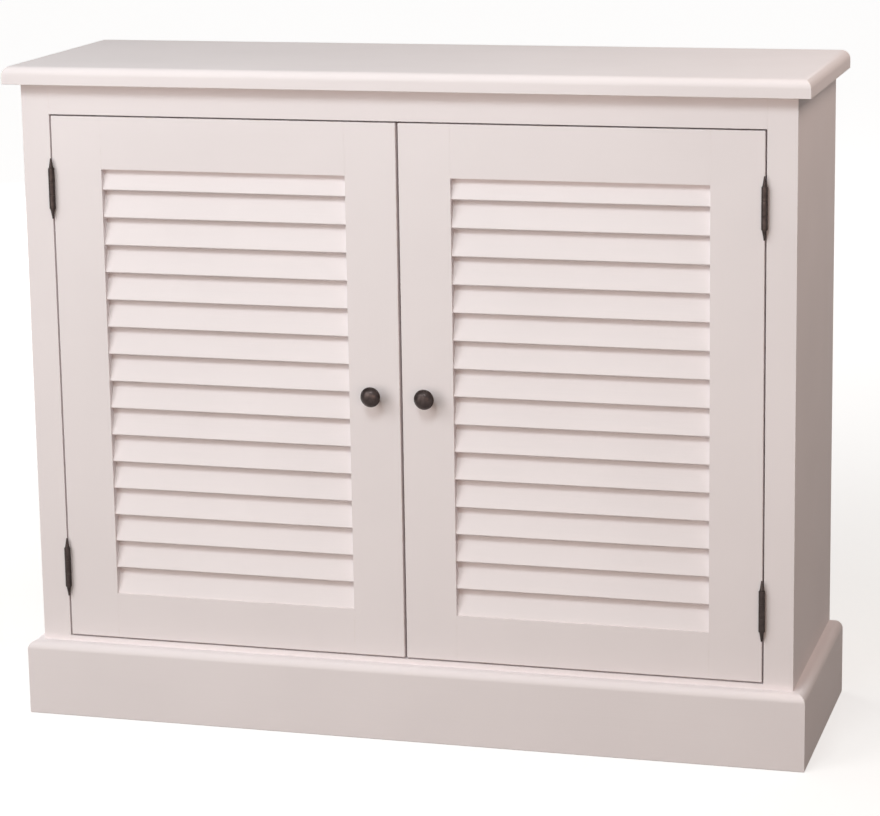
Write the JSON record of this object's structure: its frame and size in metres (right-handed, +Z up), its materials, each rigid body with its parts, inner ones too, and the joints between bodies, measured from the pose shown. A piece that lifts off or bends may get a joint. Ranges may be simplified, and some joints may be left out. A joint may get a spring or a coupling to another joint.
{
  "type": "louvred door cabinet",
  "caption": "Low free-standing cupboard with louvred doors on steeple-tipped butt hinges, mushroom knobs, an inner shelf, a rounded top and a moulded base, painted off-white",
  "frame": {"origin": "on the floor, under the middle of the overall bounding box with the doors closed", "axes": "+X to the right of someone facing the doors, +Y from the doors to the back of the case, +Z up"},
  "size_m": [1, 0.325, 0.832],
  "materials": {
    "paint": "satin off-white paint over close-grained wood, with faint brush marks",
    "bare_pine": "unpainted softwood and plywood, sanded",
    "dark_bronze": "dark bronze, satin, slightly worn at the edges",
    "zinc_steel": "bright zinc plate",
    "catch_plastic": "moulded white plastic, matt",
    "magnet": "dark grey sintered ferrite"
  },
  "bodies": {
    "case": {"top_panel": "paint", "frame_left_stile": "paint", "frame_right_stile": "paint", "frame_top_rail": "paint", "frame_bottom_rail": "paint", "left_side_panel": "paint", "right_side_panel": "paint", "bottom_panel": "paint", "back_panel": "bare_pine", "base_back_rail": "bare_pine", "top_front_cleat": "bare_pine", "top_back_cleat": "bare_pine", "corner_blocks": "bare_pine", "shelf": "paint", "left_shelf_batten": "paint", "right_shelf_batten": "paint", "base_front_moulding": "paint", "base_left_moulding": "paint", "base_right_moulding": "paint", "hinge_frame_leaves": "dark_bronze", "hinge_pins": "dark_bronze", "left_catch_housing": "catch_plastic", "right_catch_housing": "catch_plastic", "catch_pole_plates": "zinc_steel", "catch_magnets": "magnet"},
    "left_door": {"left_door_hinge_stile": "paint", "left_door_meeting_stile": "paint", "left_door_top_rail": "paint", "left_door_bottom_rail": "paint", "left_door_slats": "paint", "left_door_knob": "dark_bronze", "left_door_strike_plate": "zinc_steel", "left_door_hinge_leaves": "dark_bronze"},
    "right_door": {"right_door_hinge_stile": "paint", "right_door_meeting_stile": "paint", "right_door_top_rail": "paint", "right_door_bottom_rail": "paint", "right_door_slats": "paint", "right_door_knob": "dark_bronze", "right_door_strike_plate": "zinc_steel", "right_door_hinge_leaves": "dark_bronze"}
  },
  "joints": [
    {"name": "left_door_hinge", "type": "hinge", "parent": "case", "child": "left_door", "pos_m": [-0.4447, -0.1417, 0.4365], "axis": [0, 0, -1], "range_deg": [0, 180]},
    {"name": "right_door_hinge", "type": "hinge", "parent": "case", "child": "right_door", "pos_m": [0.4447, -0.1417, 0.4365], "axis": [0, 0, 1], "range_deg": [0, 180]}
  ]
}
